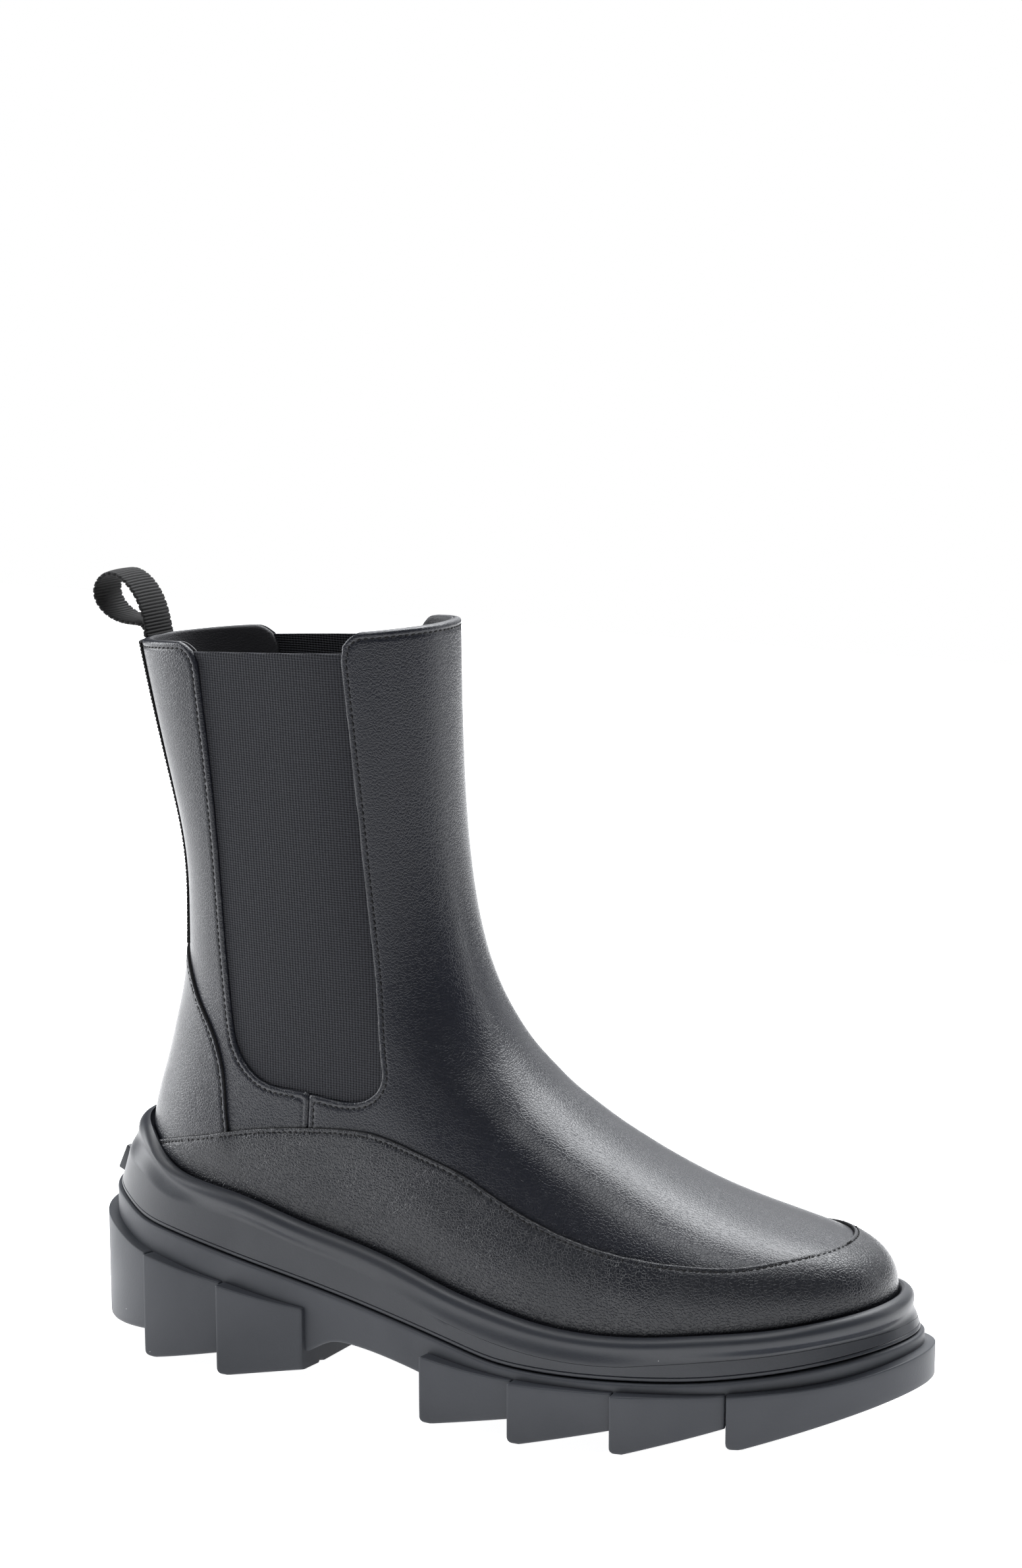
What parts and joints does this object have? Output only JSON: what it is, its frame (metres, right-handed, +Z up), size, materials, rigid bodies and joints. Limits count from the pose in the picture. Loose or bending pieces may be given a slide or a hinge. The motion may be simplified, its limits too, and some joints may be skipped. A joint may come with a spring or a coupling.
{
  "type": "chelsea boot",
  "caption": "Leather pull-on ankle boot for the right foot, with elastic side panels, a webbing pull loop and a thick saw-tooth lug sole.",
  "frame": {"origin": "centre of the bounding box in plan, at the ground under the sole", "axes": "+X from heel to toe, +Y towards the inner (medial) side, +Z up the shaft"},
  "size_m": [0.2944, 0.1056, 0.2519],
  "materials": {
    "leather_upper": "smooth black calf leather, satin sheen",
    "leather_mudguard": "smooth black calf leather, satin sheen, fine grain",
    "leather_lining": "matte black lining leather",
    "elastic": "ribbed charcoal elastic",
    "webbing": "black grosgrain webbing",
    "stiffener": "thermoplastic sheet",
    "insole_board": "cellulose fibre board",
    "footbed": "leather-covered foam",
    "shank_steel": "spring steel",
    "filler": "cork and felt filler",
    "midsole_rubber": "moulded rubber, soft sheen",
    "outsole_rubber": "matte moulded rubber"
  },
  "bodies": {
    "boot": {"vamp": "leather_upper", "quarter_lateral": "leather_upper", "quarter_medial": "leather_upper", "mudguard": "leather_mudguard", "heel_patch": "leather_upper", "gusset_lateral": "elastic", "gusset_medial": "elastic", "toe_puff": "stiffener", "heel_counter": "stiffener", "vamp_lining": "leather_lining", "quarter_lining": "leather_lining", "back_strip": "webbing", "insole_board": "insole_board", "footbed": "footbed", "shank": "shank_steel", "shank_rivets": "shank_steel", "filler": "filler", "midsole": "midsole_rubber", "outsole": "outsole_rubber"},
    "loop": {"pull_loop": "webbing"}
  },
  "joints": [
    {"name": "loop_tip", "type": "hinge", "parent": "boot", "child": "loop", "pos_m": [-0.1289, 0, 0.2333], "axis": [0, 1, 0], "range_deg": [-30, 60], "stiffness_Nm_per_rad": 0.01}
  ]
}
